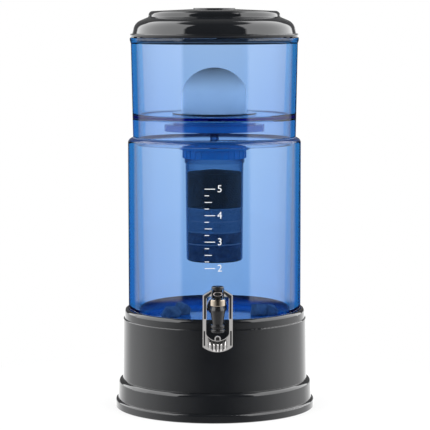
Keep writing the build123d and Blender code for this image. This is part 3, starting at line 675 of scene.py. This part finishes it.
def add_camera():
    turn = math.radians(camera_turn)
    data = bpy.data.cameras.new("camera")
    data.sensor_width = sensor_width
    data.lens = lens
    data.clip_end = camera_reach
    camera = bpy.data.objects.new("camera", data)
    scene.collection.objects.link(camera)
    side = Vector((math.cos(turn), -math.sin(turn), 0.0)) * camera_side
    place = Vector((-math.sin(turn), -math.cos(turn), 0.0)) * camera_distance + side
    place.z = camera_height
    heading = Matrix.Rotation(-turn, 4, "Z")
    tilt = Matrix.Rotation(math.radians(90.0 - camera_tilt), 4, "X")
    roll = Matrix.Rotation(math.radians(camera_roll), 4, "Z")
    camera.matrix_world = Matrix.Translation(place) @ heading @ tilt @ roll
    scene.camera = camera


panel_radiance = 1.5
side_panel = {"x": 0.90, "front": -1.0, "back": 0.70, "low": 0.12, "high": 1.0}
top_panel = {"inner": 0.28, "height": 1.45}


def add_panel(name, corner, along, across):
    """A rectangular soft light from a corner and its two edges.

    The turn's third axis is their cross product, and a light shines against it.
    """
    data = bpy.data.lights.new(name, "AREA")
    data.shape = "RECTANGLE"
    data.size = along.length
    data.size_y = across.length
    data.energy = panel_radiance * math.pi * along.length * across.length
    light = bpy.data.objects.new(name, data)
    scene.collection.objects.link(light)
    x_axis = along.normalized()
    y_axis = across.normalized()
    z_axis = x_axis.cross(y_axis)
    turn = Matrix((x_axis, y_axis, z_axis)).transposed().to_4x4()
    light.matrix_world = Matrix.Translation(corner + (along + across) / 2) @ turn
    light.visible_glossy = False
    light.visible_transmission = False


def add_lights():
    """A tall panel on each side, and one that leans inwards over it."""
    front = side_panel["front"]
    length = Vector((0.0, side_panel["back"] - front, 0.0))
    for side, word in ((-1, "left"), (1, "right")):
        foot = Vector((side * side_panel["x"], front, side_panel["low"]))
        top = Vector((side * side_panel["x"], front, side_panel["high"]))
        ridge = Vector((side * top_panel["inner"], front, top_panel["height"]))
        for name, low, high in (("side", foot, top), ("top", top, ridge)):
            corner, across = (low, length) if side < 0 else (low + length, -length)
            add_panel(f"{name}_{word}", corner, high - low, across)


# What gloss sees, from straight in front (-1) to straight behind (1)
gloss_levels = (
    (-1.0, 0.0),
    (-0.87, 0.24),
    (-0.62, 0.65),
    (-0.26, 1.20),
    (0.10, 1.50),
    (0.30, 1.50),
    (0.65, 1.2),
    (1.0, 1.7),
)
# What clear glass mirrors, along the same line
mirror_levels = (
    (-0.73, 0.0),
    (-0.66, 2.4),
    (0.0, 2.2),
    (0.57, 1.1),
    (0.76, 0.0),
)
# What lies behind clear glass, along the same line
through_levels = (
    (0.40, 0.40),
    (0.70, 0.44),
    (0.90, 0.74),
    (0.975, 0.96),
)
sky_level = 1.0  # to matte surfaces
glass_sky = 1.85  # makes up for what the glass keeps from the pieces inside
inner_share = 0.4  # of the mirrored level, where the far glass throws it back
panel_gloss = 3.9  # of the side panels over the horizon
dark_level = 0.02
dark_gloss = (0.03, 0.18)  # in front and behind
# Heights of a direction, from -1 straight down to 1 straight up
mirror_rise = (-0.1412, -0.1388)
mirror_top = (0.86, 0.93)
panel_foot = (0.0, 0.05)
panel_top = (0.86, 0.91)
lean_rise = (0.45, 0.6)
back_foot = (-0.06, 0.01)
floor_rise = (-0.30, -0.12)
# From -1 straight in front to 1 straight behind
panel_front = (-0.72, -0.66)
panel_back = (0.78, 0.84)
gloss_turn = (-0.3, 0.2)
# From 0 in the middle to 1 at the side
panel_gap = (0.08, 0.16)
back_side = (0.12, 0.2)
panel_lean = 0.12  # how much farther back the panels reach overhead
back_rise = 0.06  # of the bright back wall, beside its middle
floor_level = 0.55  # of the table, to soft gloss
tiny = 1e-6  # keeps straight up and down from a division by nothing


def studio_levels(finish, x, y, z):
    """How bright a direction is to soft gloss, to a mirror of glass and through glass."""
    turned = y / (x * x + y * y + tiny) ** 0.5
    behind = turned - panel_lean * z.smooth(*lean_rise)
    ends = turned.smooth(*panel_front) * (1.0 - behind.smooth(*panel_back))
    gap = x.math("ABSOLUTE").smooth(*panel_gap)
    panel = ends * gap * z.smooth(*panel_foot) * (1.0 - z.smooth(*panel_top))
    rim = back_rise * x.math("ABSOLUTE").smooth(*back_side)
    low = 1.0 - (z - rim).smooth(*back_foot)
    below = floor_level * (1.0 - z.smooth(*floor_rise))
    gloss = finish.level_line(y, gloss_levels) * low
    gloss = gloss.math("MAXIMUM", panel * panel_gloss).math("MAXIMUM", below)
    mirror = finish.level_line(turned, mirror_levels) * z.smooth(*mirror_rise)
    mirror = (mirror * (1.0 - z.smooth(*mirror_top))).math("MAXIMUM", dark_level)
    through = finish.level_line(y, through_levels).math("MAXIMUM", mirror * inner_share)
    return gloss, mirror, through


def make_world():
    """White to the camera, and another brightness to each kind of ray that has met the object."""
    world = bpy.data.worlds.new("studio")
    world.cycles.sampling_method = "NONE"
    scene.world = world
    finish = Finish(world)
    direction = finish.node("TexCoord", out=0)
    x, y, z = (finish.node("SeparateXYZ", (), {"Vector": direction}, out=n) for n in range(3))
    gloss, mirror, through = studio_levels(finish, x, y, z)
    least = finish.pick(y.smooth(*gloss_turn), *dark_gloss)
    level = finish.pick(finish.ray("Glossy"), sky_level, gloss.math("MAXIMUM", least))
    level = finish.pick(finish.ray("Glossy") * finish.ray("Singular"), level, mirror)
    level = finish.pick(finish.ray("Transmission"), level, through)
    sky = finish.pick(finish.ray("Transmission"), sky_level, glass_sky)
    level = finish.pick(finish.scattered(), level, sky)
    level = finish.pick(finish.ray("Camera"), level, 1.0)
    finish.output(finish.node("Background", (), {"Color": rgba(1.0), "Strength": level}))


floor_radius = 1.6
floor_sides = 96
floor_shadow_reach = (0.17, 0.42)
shadow_share = 0.35  # of the paint that the camera sees near the object


def add_floor():
    """A white floor that shows the object's shadow near it and melts into the background."""
    bm = bmesh.new()
    bmesh.ops.create_circle(bm, cap_ends=True, segments=floor_sides, radius=floor_radius)
    mesh = bpy.data.meshes.new("floor")
    bm.to_mesh(mesh)
    bm.free()
    floor = bpy.data.objects.new("floor", mesh)
    scene.collection.objects.link(floor)
    finish = new_finish("floor_paint")
    x, y = finish.axis(0), finish.axis(1)
    reach = (x * x + y * y) ** 0.5
    near = 1.0 - reach.smooth(*floor_shadow_reach)
    paint = finish.surface(Base_Color=(0.82, 0.82, 0.82), Roughness=0.7, Specular_IOR_Level=0.2)
    bright = finish.node("Emission", (), {"Color": rgba(1.0), "Strength": 1.0})
    white = finish.ray("Camera") * (1.0 - shadow_share * near)
    finish.output(finish.shader_mix(white, paint, bright))
    floor.visible_glossy = False
    floor.visible_transmission = False
    floor.data.materials.append(finish.owner)


light_bounces = 32  # enough for both walls of both tanks and the cup
gloss_bounces = 8


def set_view():
    scene.view_settings.view_transform = "Standard"
    scene.cycles.max_bounces = light_bounces
    scene.cycles.transmission_bounces = light_bounces
    scene.cycles.glossy_bounces = gloss_bounces
    scene.cycles.transparent_max_bounces = light_bounces


crowned_pad()
rounded_badge()
valve_spring()
pressed_cushion()
pitted_stones()
level_scale()
add_camera()
add_lights()
make_world()
add_floor()
set_view()
